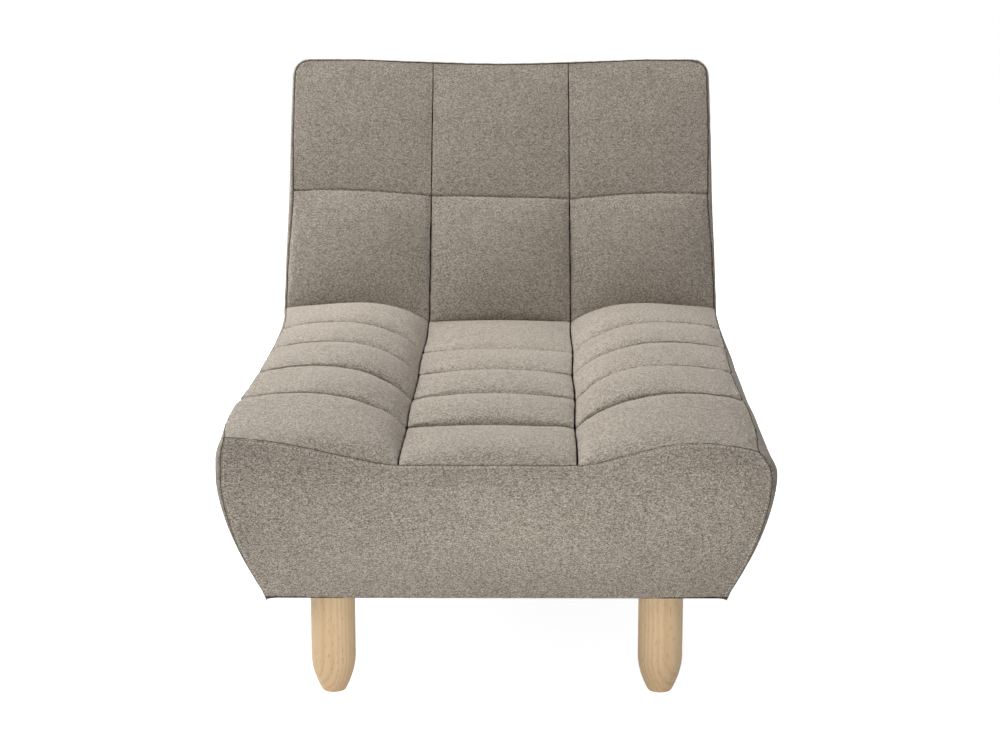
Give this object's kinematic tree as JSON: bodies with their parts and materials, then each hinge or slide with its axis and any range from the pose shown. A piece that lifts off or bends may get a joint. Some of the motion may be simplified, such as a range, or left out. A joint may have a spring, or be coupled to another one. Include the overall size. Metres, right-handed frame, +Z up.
{
  "type": "chaise longue",
  "caption": "Armless upholstered chaise longue with a reclined back, a quilted seat raised into bolsters along its sides, flared boxing and turned wooden legs.",
  "frame": {"origin": "on the floor, below the middle of the overall width and depth", "axes": "+Z up, the foot end of the seat faces -Y, and +X is to the right as seen from the foot end"},
  "size_m": [0.79, 1.4207, 0.8149],
  "materials": {
    "leg_wood": "satin",
    "timber": "matte",
    "hardboard": "matte",
    "steel": "satin",
    "foam": "matte",
    "felt": "matte",
    "webbing": "matte",
    "quilting": "matte",
    "upholstery": "matte",
    "dust_cloth": "matte"
  },
  "bodies": {
    "root": {"leg_front_left": "leg_wood", "leg_front_right": "leg_wood", "leg_rear_left": "leg_wood", "leg_rear_right": "leg_wood", "leg_bolts": "steel", "leg_nuts": "steel", "corner_block_front_left": "timber", "corner_block_front_right": "timber", "corner_block_rear_left": "timber", "corner_block_rear_right": "timber", "side_rail_left": "timber", "side_rail_right": "timber", "front_rail": "timber", "rear_rail": "timber", "spring_rail": "timber", "cross_rail_1": "timber", "cross_rail_2": "timber", "frame_screws": "steel", "side_formers_left": "timber", "side_formers_right": "timber", "side_board_left": "hardboard", "side_board_right": "hardboard", "back_post_left": "timber", "back_post_right": "timber", "back_stile_left": "timber", "back_stile_right": "timber", "back_rail_lower": "timber", "back_rail_middle": "timber", "back_rail_top": "timber", "back_bolts": "steel", "back_nuts": "steel", "back_straps": "webbing", "seat_springs": "steel", "spring_clips": "steel", "spring_felt": "felt", "seat_foam": "foam", "bolster_foam_left": "foam", "bolster_foam_right": "foam", "front_foam": "foam", "side_foam_left": "foam", "side_foam_right": "foam", "back_side_foam_left": "foam", "back_side_foam_right": "foam", "back_foam": "foam", "back_top_foam": "foam", "rear_board": "hardboard", "seat_quilt_left": "quilting", "seat_quilt_middle": "quilting", "seat_quilt_right": "quilting", "back_quilt_left": "quilting", "back_quilt_middle": "quilting", "back_quilt_right": "quilting", "side_cover_left": "upholstery", "side_cover_right": "upholstery", "front_cover": "upholstery", "top_cover": "upholstery", "rear_cover": "upholstery", "dust_cover": "dust_cloth", "staples": "steel"}
  },
  "joints": []
}
